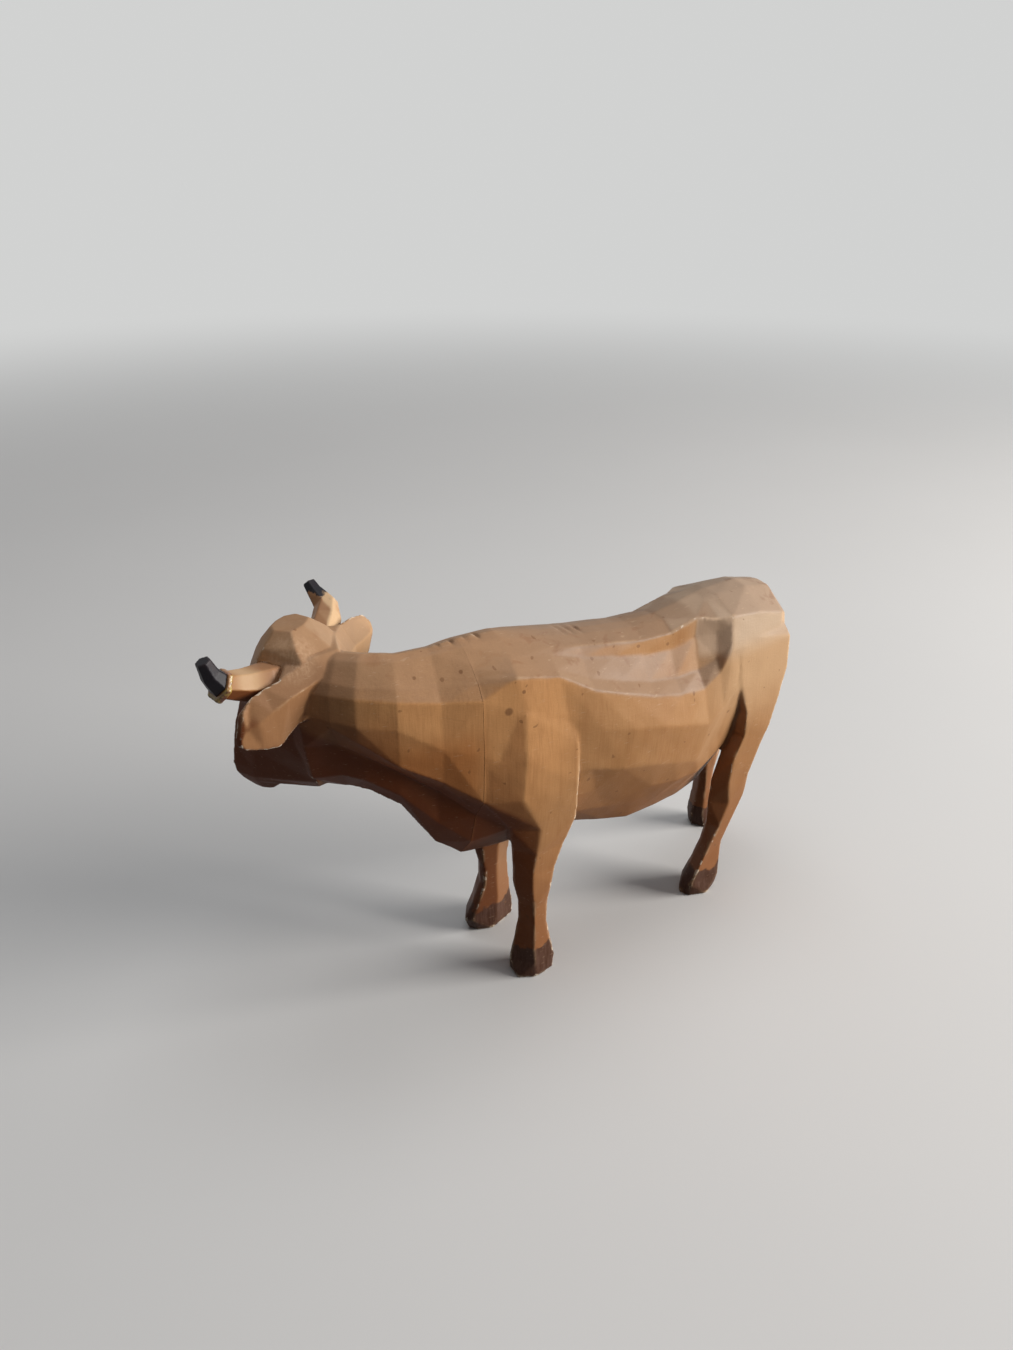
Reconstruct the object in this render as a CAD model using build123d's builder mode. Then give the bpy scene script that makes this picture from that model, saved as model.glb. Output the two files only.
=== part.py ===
"""Carved wooden cow: a knife-cut body block, a glued-on neck and head, horns and tail let in.

The cow faces -X, its left side faces -Y, and +Z is up. The origin is on the table, below the
middle of the whole carving. The pattern is drawn on a squared grid, as a carver draws it on the
block, and the corners in the tables below are given in squares of that grid.
"""

from build123d import *
import math
import os

# Driving dimensions, in millimetres
withers_height = 122.0
trunk_length = 125.0
trunk_width = 44.0

# The squared pattern grid: so many squares along, across and up the block
squares_along = 12.5
squares_across = 4.4
squares_up = 12.2
along = trunk_length / squares_along
across = trunk_width / squares_across
up = withers_height / squares_up

# From the pattern's corner, at the left front hoof, to the part's origin
shift_x_share = -1.18
shift_y_share = -1.3

# Head, on a grid of its own that is turned with it
head_length = 55.0
head_width = 26.0
head_squares_down = 5.5
head_squares_across = 2.6
head_down = head_length / head_squares_down
head_across = head_width / head_squares_across
head_turn = 53.0
head_x_share = -5.9
head_y_share = 2.2
poll_z_share = 13.05

# Horns
horn_root_thickness = 8.4
horn_tip_thickness = 4.4
glue_thickness = 1.2
glue_lip = 0.5
horn_sides = 6

# Tail
tail_thickness = 4.6
tail_sides = 6

# Dowels across the neck seam
dowel_diameter = 6.0
dowel_length = 24.0
dowel_end_gap = 0.8
dowel_places_share = [7.2, 10.2]

# Room left for glue round a piece that is let in
glue_room = 0.15

# Knife nicks across the crest and the back
nick_width = 1.3
nick_depth = 1.1
nick_length = 8.0
crest_nick_shares = [(-2.4, 12.32), (-1.98, 12.33), (-1.55, 12.33), (-1.13, 12.31)]
back_nick_shares = [(1.85, 11.70), (2.15, 11.64), (2.5, 11.58)]

# Eyes, nostrils and mouth, placed as (forward, out, drop) squares of the head
eye_diameter = 2.6
eye_depth = 0.9
eye_share = (0.70, 1.20, 1.95)
nostril_diameter = 1.5
nostril_depth = 1.0
nostril_share = (2.03, 0.40, 4.25)
mouth_width = 0.9
mouth_depth = 0.9
mouth_share = (2.05, 4.85)

# Body block: rows from the neck seam to the rump. Each row has the station along the body, the
# depth of the gouge cut along the flank, then the corners of the left half from the spine round
# to the keel, as (out, up) squares.
trunk_shares = [
    (-1.80, 0, [(0, 12.35), (0.38, 12.22), (0.80, 11.84), (1.20, 11.40), (1.45, 10.93),
                (1.50, 9.20), (1.42, 7.48), (0.95, 6.75), (0.62, 5.55), (0, 4.72)]),
    (-0.60, 0, [(0, 12.28), (0.40, 12.17), (0.85, 11.90), (1.60, 11.45), (1.80, 10.2),
                (1.80, 8.40), (1.60, 7.00), (1.20, 6.00), (0.60, 5.00), (0, 4.50)]),
    (0.80, 0.04, [(0, 11.95), (0.40, 11.88), (0.88, 11.72), (1.72, 11.15), (1.86, 9.8),
                  (1.86, 8.00), (1.62, 6.60), (1.25, 5.75), (0.65, 4.95), (0, 4.60)]),
    (2.00, 0.10, [(0, 11.66), (0.40, 11.60), (0.90, 11.46), (1.90, 10.40), (2.10, 9.0),
                  (2.00, 7.70), (1.66, 6.55), (1.25, 5.65), (0.65, 4.80), (0, 4.45)]),
    (3.20, 0.14, [(0, 11.46), (0.40, 11.40), (0.95, 11.24), (1.95, 9.95), (2.20, 8.7),
                  (2.13, 7.35), (1.73, 6.30), (1.25, 5.35), (0.70, 4.40), (0, 4.05)]),
    (4.40, 0.17, [(0, 11.30), (0.40, 11.24), (1.00, 11.03), (1.95, 9.50), (2.20, 8.4),
                  (2.10, 7.05), (1.70, 5.85), (1.20, 5.00), (0.65, 4.00), (0, 3.65)]),
    (5.60, 0.20, [(0, 11.27), (0.40, 11.20), (1.00, 10.96), (1.87, 9.15), (2.08, 8.0),
                  (1.97, 6.60), (1.65, 5.60), (1.15, 4.80), (0.60, 3.95), (0, 3.60)]),
    (6.70, 0.20, [(0, 11.42), (0.40, 11.36), (0.98, 11.20), (1.76, 8.95), (1.90, 7.6),
                  (1.78, 6.20), (1.48, 5.45), (1.05, 4.70), (0.55, 3.98), (0, 3.62)]),
    (7.40, 0.14, [(0, 11.58), (0.45, 11.50), (1.30, 11.08), (1.71, 9.30), (1.80, 8.0),
                  (1.62, 6.50), (1.32, 5.60), (0.95, 4.85), (0.50, 4.12), (0, 3.75)]),
    (7.85, 0, [(0, 11.64), (0.50, 11.56), (1.48, 11.14), (1.72, 10.0), (1.76, 8.4),
               (1.55, 6.80), (1.25, 5.80), (0.90, 5.00), (0.50, 4.30), (0, 3.90)]),
    (9.20, 0, [(0, 11.68), (0.50, 11.55), (1.40, 10.95), (1.60, 9.90), (1.60, 8.6),
               (1.40, 7.40), (1.10, 6.60), (0.80, 6.00), (0.45, 5.40), (0, 5.10)]),
    (10.4, 0, [(0, 11.38), (0.40, 11.28), (1.30, 10.62), (1.45, 9.90), (1.38, 8.8),
               (1.10, 7.80), (0.80, 7.20), (0.60, 6.80), (0.35, 6.40), (0, 6.20)]),
    (10.8, 0, [(0, 10.95), (0.40, 10.88), (1.08, 10.40), (1.20, 9.70), (1.15, 8.8),
               (0.95, 7.90), (0.70, 7.35), (0.50, 7.00), (0.30, 6.70), (0, 6.50)]),
]

# How far each row of facets is shifted along the body, so that their ends do not line up
facet_stagger_shares = [0, 0.10, 0, -0.12, 0.15, -0.20, 0.22, -0.18, 0.12, 0]
gouge_edge_share = 0.26

# Legs: rows from the top down. Each row has its height, then the six corners of the section as
# (along, out) squares: front, front ridge, outer back, back, inner back, inner front.
front_leg_shares = [
    (10.9, [(-1.3, 1.05), (-0.4, 1.35), (0.9, 1.35), (1.1, 0.8), (0.0, 0.4), (-1.1, 0.5)]),
    (10.3, [(-1.7, 1.40), (-0.55, 1.80), (1.1, 1.74), (1.3, 0.8), (0.0, 0.4), (-1.4, 0.6)]),
    (8.8, [(-1.8, 1.46), (-0.6, 1.95), (1.25, 2.00), (1.3, 0.8), (-0.2, 0.4), (-1.5, 0.6)]),
    (7.4, [(-1.75, 1.43), (-0.7, 1.92), (1.3, 2.04), (1.4, 0.9), (0.0, 0.5), (-1.4, 0.6)]),
    (6.0, [(-0.8, 1.30), (0.0, 1.85), (1.35, 1.88), (1.4, 1.0), (0.4, 0.6), (-0.5, 0.7)]),
    (5.0, [(-0.6, 1.15), (-0.1, 1.78), (1.05, 1.68), (1.15, 1.1), (0.5, 0.7), (-0.4, 0.75)]),
    (4.2, [(-0.55, 1.15), (-0.2, 1.73), (0.75, 1.65), (0.85, 1.15), (0.3, 0.8), (-0.4, 0.85)]),
    (3.6, [(-0.55, 1.15), (-0.2, 1.73), (0.6, 1.70), (0.7, 1.2), (0.25, 0.85), (-0.4, 0.85)]),
    (2.8, [(-0.35, 1.15), (-0.1, 1.70), (0.5, 1.60), (0.55, 1.2), (0.25, 0.95), (-0.25, 0.95)]),
    (2.0, [(-0.35, 1.15), (-0.1, 1.73), (0.45, 1.65), (0.52, 1.25), (0.25, 0.95), (-0.25, 0.95)]),
    (1.2, [(-0.5, 1.10), (-0.15, 1.80), (0.6, 1.70), (0.6, 1.2), (0.3, 0.9), (-0.35, 0.9)]),
    (0.6, [(-0.7, 1.15), (-0.15, 1.88), (0.7, 1.78), (0.75, 1.2), (0.3, 0.92), (-0.52, 0.92)]),
    (0.0, [(-0.66, 1.60), (-0.1, 1.92), (0.65, 1.78), (0.75, 1.25), (0.3, 0.95), (-0.58, 0.95)]),
]
far_front_leg_shares = [
    (10.9, [(-1.3, 1.05), (-0.4, 1.35), (0.9, 1.35), (1.1, 0.8), (0.0, 0.4), (-1.1, 0.5)]),
    (10.2, [(-1.7, 1.36), (-0.6, 1.78), (1.2, 1.9), (1.3, 0.8), (0.0, 0.4), (-1.4, 0.6)]),
    (8.8, [(-1.8, 1.46), (-0.6, 1.92), (1.2, 2.08), (1.3, 0.8), (-0.2, 0.4), (-1.5, 0.6)]),
    (7.4, [(-1.7, 1.42), (-0.8, 1.90), (1.2, 2.02), (1.4, 0.9), (0.0, 0.5), (-1.4, 0.6)]),
    (6.0, [(-1.0, 1.30), (-0.2, 1.85), (1.3, 1.88), (1.4, 1.0), (0.4, 0.6), (-0.7, 0.7)]),
    (5.0, [(-0.75, 1.20), (-0.2, 1.80), (1.1, 1.72), (1.2, 1.15), (0.36, 0.75), (-0.55, 0.8)]),
    (4.2, [(-0.62, 1.20), (-0.2, 1.77), (0.9, 1.70), (1.0, 1.20), (0.24, 0.85), (-0.5, 0.88)]),
    (3.6, [(-0.58, 1.20), (-0.2, 1.77), (0.8, 1.72), (0.9, 1.2), (0.20, 0.88), (-0.45, 0.88)]),
    (2.8, [(-0.38, 1.22), (-0.1, 1.75), (0.75, 1.68), (0.8, 1.25), (0.20, 0.95), (-0.35, 0.95)]),
    (2.0, [(-0.35, 1.24), (-0.1, 1.78), (0.78, 1.70), (0.86, 1.3), (0.22, 0.98), (-0.33, 0.98)]),
    (1.2, [(-0.68, 1.25), (-0.3, 1.85), (0.85, 1.78), (0.95, 1.3), (0.26, 1.0), (-0.6, 1.0)]),
    (0.6, [(-1.0, 1.28), (-0.55, 1.90), (0.95, 1.85), (1.08, 1.35), (0.15, 0.98), (-0.78, 1.04)]),
    (0.0, [(-0.75, 1.42), (-0.4, 1.95), (0.9, 1.88), (1.02, 1.25), (-0.02, 0.90), (-0.52, 1.1)]),
]
stepping_leg_shares = [
    (10.8, [(8.2, 0.8), (8.1, 1.35), (9.8, 1.05), (10.0, 0.4), (9.2, 0.2), (8.5, 0.3)]),
    (10.35, [(7.95, 1.0), (8.1, 1.60), (10.45, 1.30), (10.7, 0.6), (9.5, 0.2), (8.2, 0.4)]),
    (9.7, [(7.9, 1.2), (8.2, 1.70), (10.75, 1.52), (10.9, 0.6), (9.6, 0.2), (8.2, 0.5)]),
    (8.6, [(7.9, 1.2), (8.3, 1.75), (10.75, 1.58), (10.9, 0.7), (9.6, 0.3), (8.2, 0.6)]),
    (7.4, [(8.4, 1.1), (8.7, 1.80), (10.4, 1.65), (10.6, 0.9), (9.8, 0.5), (8.8, 0.6)]),
    (6.4, [(8.6, 1.1), (8.8, 1.75), (10.15, 1.65), (10.4, 1.1), (9.8, 0.75), (9.0, 0.75)]),
    (5.5, [(8.3, 1.15), (8.45, 1.70), (9.8, 1.60), (10.1, 1.2), (9.6, 0.9), (8.8, 0.85)]),
    (4.5, [(8.0, 1.15), (8.38, 1.68), (9.4, 1.60), (9.7, 1.2), (9.2, 0.9), (8.4, 0.85)]),
    (3.6, [(7.95, 1.15), (8.5, 1.68), (9.33, 1.57), (9.55, 1.2), (9.0, 0.9), (8.3, 0.9)]),
    (2.7, [(7.95, 1.2), (8.15, 1.68), (8.82, 1.60), (9.05, 1.25), (8.75, 1.0), (8.2, 0.95)]),
    (1.9, [(7.75, 1.2), (7.65, 1.70), (8.43, 1.60), (8.65, 1.25), (8.4, 1.0), (7.95, 0.95)]),
    (1.2, [(7.36, 1.2), (7.2, 1.75), (8.35, 1.65), (8.6, 1.25), (8.3, 0.95), (7.6, 0.95)]),
    (0.6, [(7.0, 1.2), (6.95, 1.72), (8.27, 1.75), (8.68, 1.25), (8.25, 0.9), (7.25, 0.9)]),
    (0.0, [(6.83, 1.25), (6.97, 1.64), (7.62, 1.90), (8.3, 1.6), (8.2, 0.95), (7.1, 0.95)]),
]
standing_leg_shares = [
    (10.8, [(8.2, 0.8), (8.1, 1.35), (9.8, 1.05), (10.0, 0.4), (9.2, 0.2), (8.5, 0.3)]),
    (10.35, [(7.95, 1.0), (8.1, 1.60), (10.45, 1.30), (10.7, 0.6), (9.5, 0.2), (8.2, 0.4)]),
    (9.7, [(7.9, 1.2), (8.2, 1.70), (10.7, 1.52), (10.85, 0.6), (9.6, 0.2), (8.2, 0.5)]),
    (8.6, [(8.0, 1.2), (8.4, 1.75), (10.7, 1.58), (10.85, 0.7), (9.6, 0.3), (8.4, 0.6)]),
    (7.4, [(8.7, 1.1), (9.1, 1.80), (10.4, 1.65), (10.7, 0.9), (10.0, 0.5), (9.1, 0.6)]),
    (6.4, [(9.1, 1.1), (9.4, 1.75), (10.4, 1.65), (10.7, 1.1), (10.2, 0.75), (9.4, 0.75)]),
    (5.5, [(9.3, 1.15), (9.6, 1.70), (10.45, 1.60), (10.8, 1.2), (10.3, 0.9), (9.6, 0.9)]),
    (4.5, [(9.5, 1.20), (9.8, 1.72), (10.55, 1.62), (10.9, 1.25), (10.4, 0.95), (9.8, 0.95)]),
    (3.6, [(9.7, 1.25), (9.9, 1.76), (10.75, 1.66), (11.0, 1.3), (10.5, 1.0), (10.0, 1.0)]),
    (2.7, [(10.0, 1.35), (10.2, 1.82), (10.65, 1.72), (10.85, 1.4), (10.5, 1.15), (10.15, 1.12)]),
    (1.9, [(10.05, 1.4), (10.2, 1.88), (10.65, 1.80), (10.82, 1.48), (10.55, 1.2), (10.22, 1.15)]),
    (1.2, [(10.0, 1.45), (10.2, 1.98), (10.85, 1.88), (10.97, 1.5), (10.65, 1.22), (10.25, 1.18)]),
    (0.6, [(9.95, 1.55), (10.2, 2.05), (11.05, 1.95), (11.12, 1.55), (10.75, 1.22), (10.25, 1.18)]),
    (0.0, [(10.12, 1.65), (10.3, 2.02), (10.95, 1.95), (11.05, 1.55), (10.78, 1.2), (10.42, 1.16)]),
]

# Neck: rows from the seam to the head. Each row has the place and the turn of the section's
# middle, then the corners of its left half from the crest round to the throat.
neck_shares = [
    (-2.7, 0.05, 12, [(0, 12.28), (0.30, 12.18), (0.62, 11.82), (0.92, 11.42), (1.15, 11.05),
                      (1.25, 9.58), (1.10, 8.37), (0.56, 7.75), (0.42, 6.50), (0, 5.50)]),
    (-3.75, 0.15, 24, [(0, 12.32), (0.28, 12.22), (0.58, 11.95), (0.85, 11.65), (1.05, 11.33),
                       (1.12, 10.48), (0.98, 9.18), (0.47, 8.70), (0.34, 7.80), (0, 7.22)]),
    (-4.6, 0.50, 36, [(0, 12.42), (0.28, 12.32), (0.58, 12.05), (0.85, 11.80), (1.02, 11.52),
                      (1.10, 10.68), (0.98, 10.12), (0.52, 9.45), (0.38, 8.50), (0, 7.90)]),
    (-5.05, 0.90, 42, [(0, 12.44), (0.30, 12.33), (0.58, 12.12), (0.85, 11.90), (1.05, 11.60),
                       (1.15, 10.85), (1.12, 10.66), (0.70, 9.85), (0.50, 8.70), (0, 8.00)]),
    (-5.6, 1.45, 50, [(0, 12.35), (0.30, 12.25), (0.58, 12.05), (0.85, 11.85), (1.02, 11.65),
                      (1.14, 11.12), (1.14, 10.98), (0.98, 9.80), (0.70, 8.60), (0, 8.00)]),
    (-5.9, 2.10, 53, [(0, 12.20), (0.30, 12.10), (0.50, 11.90), (0.70, 11.70), (0.80, 11.40),
                      (0.85, 10.90), (0.85, 10.50), (0.75, 9.60), (0.50, 8.80), (0, 8.40)]),
]

# Head: rows from the poll down to the chin. Each row has its drop below the poll, then the
# corners of its left half from the front of the face round to the back, as (forward, out) squares.
head_shares = [
    (0.0, [(0.4, 0), (0.35, 0.35), (0.1, 0.6), (-0.4, 0.5), (-0.5, 0)]),
    (0.35, [(0.65, 0), (0.6, 0.5), (0.2, 1.05), (-0.7, 0.85), (-1.0, 0)]),
    (0.65, [(0.8, 0), (0.75, 0.6), (0.35, 1.2), (-0.95, 1.0), (-1.4, 0)]),
    (0.95, [(0.95, 0), (0.85, 0.7), (0.45, 1.3), (-0.9, 1.2), (-1.4, 0)]),
    (1.65, [(1.2, 0), (1.12, 0.8), (0.65, 1.22), (-0.7, 1.2), (-1.2, 0)]),
    (2.35, [(1.45, 0), (1.4, 0.78), (0.8, 1.12), (-0.7, 1.1), (-1.2, 0)]),
    (3.15, [(1.75, 0), (1.7, 0.72), (0.9, 1.0), (-0.8, 1.0), (-1.2, 0)]),
    (3.95, [(1.98, 0), (1.9, 0.64), (1.05, 0.86), (-0.9, 0.95), (-1.2, 0)]),
    (4.65, [(2.1, 0), (2.0, 0.66), (1.25, 0.78), (-0.9, 0.8), (-1.2, 0)]),
    (4.98, [(2.05, 0), (1.95, 0.64), (1.3, 0.74), (-0.8, 0.55), (-1.1, 0)]),
    (5.22, [(1.92, 0), (1.82, 0.55), (1.3, 0.62), (0.6, 0.45), (0.4, 0)]),
    (5.55, [(1.65, 0), (1.55, 0.36), (1.25, 0.42), (0.95, 0.36), (0.85, 0)]),
]

# Horns: (forward, out, drop) squares of the head and a thickness from root to tip. The left horn is
# broken across, so its stump and its tip have a table each, and the tip ends at the tip's thickness.
left_stump_shares = [
    (-0.1, 0.95, 1.30, 1.25),
    (0.02, 1.45, 1.18, 1.30),
    (0.30, 2.05, 1.00, 1.10),
    (0.55, 2.55, 0.78, 0.93),
]
left_tip_shares = [
    (0.70, 2.80, 0.40, 0.72),
    (0.78, 2.92, -0.06, 0.55),
]
right_root_shares = [
    (-0.25, 0.95, 1.25, 1.00),
    (-0.20, 1.50, 1.00, 1.05),
    (-0.02, 2.05, 0.80, 1.05),
]
right_tip_shares = [
    (0.20, 2.50, 0.55, 0.92),
    (0.68, 2.70, 0.28, 0.62),
    (0.92, 2.82, 0.05, 0.55),
]

# Ears: each is left standing on the head block. Rows from inside the head to the tip, each with
# its corners as (forward, out, drop) squares: top edge, back ridge, lower back, lower front, top front
left_ear_shares = [
    [(-1.55, 0, 0.58), (-1.7, 0, 1.0), (-1.3, 0, 2.3), (0, 0, 2.3), (0, 0, 0.5)],
    [(-1.11, 0.68, 0.58), (-1.55, 0.70, 1.01), (-1.21, 1.33, 2.11), (-0.2, 1.1, 2.3), (-0.4, 0.8, 0.6)],
    [(-0.60, 1.67, 0.89), (-0.96, 1.84, 1.33), (-0.79, 1.62, 2.51), (-0.25, 1.45, 2.55), (-0.4, 1.6, 1.15)],
    [(-0.37, 2.07, 0.98), (-0.70, 2.24, 1.56), (-0.62, 1.97, 2.80), (-0.25, 1.95, 2.75), (-0.15, 2.0, 1.2)],
    [(-0.19, 2.45, 1.08), (-0.48, 2.60, 1.79), (-0.40, 2.40, 2.69), (-0.10, 2.40, 2.63), (-0.02, 2.4, 1.3)],
    [(-0.13, 2.79, 1.35), (-0.24, 2.84, 1.87), (-0.16, 2.85, 2.51), (0.06, 2.84, 2.45), (0.06, 2.76, 1.5)],
    [(-0.10, 3.0, 2.05), (-0.12, 3.0, 2.15), (-0.10, 3.0, 2.33), (0.06, 3.0, 2.31), (0.06, 3.0, 2.07)],
]
right_ear_shares = [
    [(-1.55, 0, 0.58), (-1.7, 0, 1.0), (-1.3, 0, 2.3), (0, 0, 2.3), (0, 0, 0.5)],
    [(-1.0, 0.8, 0.57), (-1.45, 0.8, 1.15), (-1.3, 1.0, 2.15), (-0.3, 1.1, 2.3), (-0.3, 0.8, 0.5)],
    [(-0.75, 1.6, 0.65), (-1.2, 1.6, 1.3), (-1.2, 1.7, 2.15), (-0.6, 1.55, 2.2), (-0.4, 1.7, 0.9)],
    [(-0.8, 2.25, 0.67), (-1.2, 2.2, 1.35), (-1.15, 2.25, 2.05), (-0.8, 2.2, 2.05), (-0.6, 2.25, 0.95)],
    [(-0.9, 2.7, 0.77), (-1.16, 2.7, 1.35), (-1.1, 2.6, 1.9), (-0.85, 2.65, 1.9), (-0.75, 2.7, 1.0)],
    [(-0.98, 3.0, 1.11), (-1.06, 3.0, 1.35), (-1.04, 3.0, 1.55), (-0.92, 3.0, 1.55), (-0.88, 3.0, 1.15)],
]

# Tail: rows from the buried root down, as (along, out, up) squares and a thickness
tail_shares = [
    (10.2, 0.0, 11.10, 0.9),
    (10.75, 0.0, 10.85, 1.0),
    (11.02, 0.05, 10.2, 0.95),
    (11.08, 0.1, 9.0, 0.85),
    (11.08, 0.15, 7.6, 0.80),
    (11.06, 0.2, 6.9, 1.05),
    (11.02, 0.25, 6.2, 1.15),
    (10.98, 0.3, 5.5, 0.4),
]


def place(x_share, y_share, z_share):
    """A point of the part from its squares of the pattern grid."""
    x = (x_share + shift_x_share) * along
    y = (y_share + shift_y_share) * across
    return Vector(x, y, z_share * up)


head_angle = math.radians(head_turn)
head_forward = Vector(-math.cos(head_angle), math.sin(head_angle), 0)
head_right = Vector(math.sin(head_angle), math.cos(head_angle), 0)
poll = place(head_x_share, head_y_share, poll_z_share)


def head_place(forward, out, drop):
    """A point of the head; out is positive to the cow's right."""
    level = head_forward * (forward * head_across) + head_right * (out * head_across)
    return poll + level - Vector(0, 0, drop * head_down)


def middle(ring):
    """The middle of a ring of corners."""
    return sum(ring, Vector(0, 0, 0)) * (1 / len(ring))


def carve(rings):
    """A solid with flat three-cornered facets between rings of corners, closed by its end rings.

    Each patch between two rings is split along the diagonal that stands further out, which is
    how a knife leaves it.
    """
    faces = [Face(Wire.make_polygon(ring)) for ring in (rings[0], rings[-1])]
    for upper, lower in zip(rings, rings[1:]):
        centre = (middle(upper) + middle(lower)) * (1 / 2)
        for here in range(len(upper)):
            after = (here + 1) % len(upper)
            a, b, c, d = upper[here], upper[after], lower[after], lower[here]
            if ((a + c) * (1 / 2) - centre).length > ((b + d) * (1 / 2) - centre).length:
                facets = [(a, b, c), (a, c, d)]
            else:
                facets = [(a, b, d), (b, c, d)]
            faces += [Face(Wire.make_polygon(facet)) for facet in facets]
    return Solid(Shell(faces))


def roomier(rings, room):
    """The same rings with every corner moved out by the room, and the buried end moved deeper."""
    wider = []
    for ring in rings:
        centre = middle(ring)
        wider.append([corner + (corner - centre).normalized() * room for corner in ring])
    deeper = (middle(rings[0]) - middle(rings[1])).normalized() * room
    wider[0] = [corner + deeper for corner in wider[0]]
    return wider


def tube_rings(spots, thicknesses, sides):
    """Rings of corners round a path, each square to the path there."""
    rings = []
    for row, (spot, thickness) in enumerate(zip(spots, thicknesses)):
        before = spots[max(row - 1, 0)]
        after = spots[min(row + 1, len(spots) - 1)]
        section = Plane(origin=spot, x_dir=(0, 0, 1), z_dir=after - before)
        corners = []
        for side in range(sides):
            angle = 2 * math.pi * (side + 1 / 2) / sides
            reach = thickness / 2
            corners.append(section.from_local_coords(Vector(reach * math.cos(angle), reach * math.sin(angle), 0)))
        rings.append(corners)
    return rings


def trunk_ring(station, gouge, half, stagger):
    """One ring of the trunk: the left half with its gouge cut, then the right half mirrored."""
    side = []
    for (out, height), shift in zip(half, facet_stagger_shares):
        side.append((station + shift * stagger, out, height))
    (x_top, out_top, up_top), (x_low, out_low, up_low) = side[2], side[3]
    slope = math.hypot(out_low - out_top, up_top - up_low)
    cut = []
    for share in (gouge_edge_share, 1 - gouge_edge_share):
        out = out_top + (out_low - out_top) * share - gouge * (up_top - up_low) / slope
        height = up_top + (up_low - up_top) * share - gouge * (out_low - out_top) / slope
        cut.append((x_top + (x_low - x_top) * share, out, height))
    left = side[:3] + cut + side[3:]
    right = [(x, -out, height) for x, out, height in reversed(left[1:-1])]
    return [place(x, -out, height) for x, out, height in left + right]


def neck_ring(x_share, y_share, turn, half):
    """One upright ring of the neck, turned about its middle, with the trunk's count of corners."""
    angle = math.radians(turn)
    origin = place(x_share, y_share, 0)
    left = Vector(-math.sin(angle), -math.cos(angle), 0)
    flat = trunk_ring(0, 0, half, 0)
    axis = place(0, 0, 0)
    return [origin + left * (axis.Y - corner.Y) + Vector(0, 0, corner.Z) for corner in flat]


def leg_rings(rows, side):
    """Level rings of a leg; side is -1 for the cow's left and 1 for its right."""
    return [[place(x, side * out, height) for x, out in corners] for height, corners in rows]


def head_rings():
    """Level rings of the head."""
    rings = []
    for drop, half in head_shares:
        right = [(forward, -out) for forward, out in reversed(half[1:-1])]
        rings.append([head_place(forward, -out, drop) for forward, out in half + right])
    return rings


def horn_rings(root, tip, side):
    """Rings of a horn on one side of the head: those of its root part, then those of its tip."""
    rows = root + tip
    spots = [head_place(forward, side * out, drop) for forward, out, drop, thick in rows]
    thicknesses = [horn_root_thickness * thick for forward, out, drop, thick in rows]
    thicknesses[-1] = horn_tip_thickness
    rings = tube_rings(spots, thicknesses, horn_sides)
    return rings[:len(root)], rings[len(root):]


def ear_rings(rows, side):
    """Rings of an ear from inside the head to its tip."""
    return [[head_place(forward, side * out, drop) for forward, out, drop in row] for row in rows]


left_stump_rings, left_tip_rings = horn_rings(left_stump_shares, left_tip_shares, -1)
right_root_rings, right_tip_rings = horn_rings(right_root_shares, right_tip_shares, 1)
tail_spots = [place(x, out, height) for x, out, height, thick in tail_shares]
tail_rings = tube_rings(tail_spots, [tail_thickness * row[3] for row in tail_shares], tail_sides)
seam_ring = trunk_ring(*trunk_shares[0], 0)
seam_x = seam_ring[0].X
dowel_spots = [Vector(seam_x, place(0, 0, 0).Y, height * up) for height in dowel_places_share]


crest_nick_spots = [place(x_share, 0, z_share) for x_share, z_share in crest_nick_shares]
back_nick_spots = [place(x_share, 0, z_share) for x_share, z_share in back_nick_shares]
nick_corners = [(0, -nick_depth), (nick_width, nick_depth), (-nick_width, nick_depth)]
mouth_corners = [(-mouth_depth, 0), (mouth_depth, mouth_width), (mouth_depth, -mouth_width)]
mouth_spot = head_place(mouth_share[0], 0, mouth_share[1])

with BuildPart() as body_block:
    last = len(trunk_shares) - 1
    trunk = []
    for row, (station, gouge, half) in enumerate(trunk_shares):
        trunk.append(trunk_ring(station, gouge, half, 0 if row in (0, last) else 1))
    add(carve(trunk))
    add(carve(leg_rings(front_leg_shares, -1)))
    add(carve(leg_rings(far_front_leg_shares, 1)))
    add(carve(leg_rings(stepping_leg_shares, -1)))
    add(carve(leg_rings(standing_leg_shares, 1)))
    add(carve(roomier(tail_rings, glue_room)), mode=Mode.SUBTRACT)
    for spot in crest_nick_spots + back_nick_spots:
        with BuildSketch(Plane(origin=spot, x_dir=(1, 0, 0), z_dir=(0, -1, 0))):
            Polygon(*nick_corners, align=None)
        extrude(amount=nick_length / 2, both=True, mode=Mode.SUBTRACT)
    for spot in dowel_spots:
        with Locations(Plane(origin=spot, z_dir=(1, 0, 0))):
            Cylinder(dowel_diameter / 2 + glue_room, dowel_length + 2 * dowel_end_gap, mode=Mode.SUBTRACT)

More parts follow.
